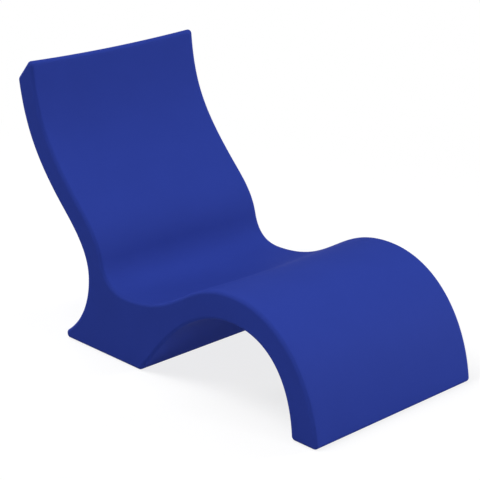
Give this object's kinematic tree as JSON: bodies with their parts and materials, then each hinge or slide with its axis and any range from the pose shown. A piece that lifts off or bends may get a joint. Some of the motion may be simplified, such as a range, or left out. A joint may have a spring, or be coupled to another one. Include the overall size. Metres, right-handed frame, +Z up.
{
  "type": "low-back pool chair",
  "caption": "Low-back in-pool chair moulded as one hollow water-ballasted body with a curved seat over an open arch, and screw-capped fill and drain ports behind.",
  "frame": {"origin": "on the floor, midway along the chair's length and midway across its width", "axes": "+X across the width, +Y from the toe to the back, +Z up; the sitter faces -Y"},
  "size_m": [0.61, 1.1916, 0.8015],
  "materials": {
    "shell": "satin blue moulded polyethylene",
    "fill_insert": "black glass-filled plastic",
    "fill_gasket": "dull black rubber",
    "fill_cap": "satin blue moulded plastic",
    "drain_insert": "black glass-filled plastic",
    "drain_gasket": "dull black rubber",
    "drain_cap": "satin blue moulded plastic"
  },
  "bodies": {
    "chair": {"shell": "shell", "fill_insert": "fill_insert", "drain_insert": "drain_insert"},
    "fill_seal": {"fill_gasket": "fill_gasket"},
    "fill_plug": {"fill_cap": "fill_cap"},
    "drain_seal": {"drain_gasket": "drain_gasket"},
    "drain_plug": {"drain_cap": "drain_cap"}
  },
  "joints": [
    {"name": "fill_lift", "type": "slide", "parent": "chair", "child": "fill_seal", "axis": [0, 0.9724, -0.2334], "range_m": [0, 0.015]},
    {"name": "fill_turn", "type": "hinge", "parent": "fill_seal", "child": "fill_plug", "pos_m": [0, 0.57687, 0.69233], "axis": [0, 0.9724, -0.2334], "range_deg": [0, 1080]},
    {"name": "drain_lift", "type": "slide", "parent": "chair", "child": "drain_seal", "axis": [0, 0.826, 0.5636], "range_m": [0, 0.015]},
    {"name": "drain_turn", "type": "hinge", "parent": "drain_seal", "child": "drain_plug", "pos_m": [0, 0.33616, 0.08636], "axis": [0, 0.826, 0.5636], "range_deg": [0, 1080]}
  ],
  "couplings": [
    {"joint": "fill_lift", "follows": "fill_turn", "m_per_rad": 0.00079577},
    {"joint": "drain_lift", "follows": "drain_turn", "m_per_rad": 0.00079577}
  ]
}
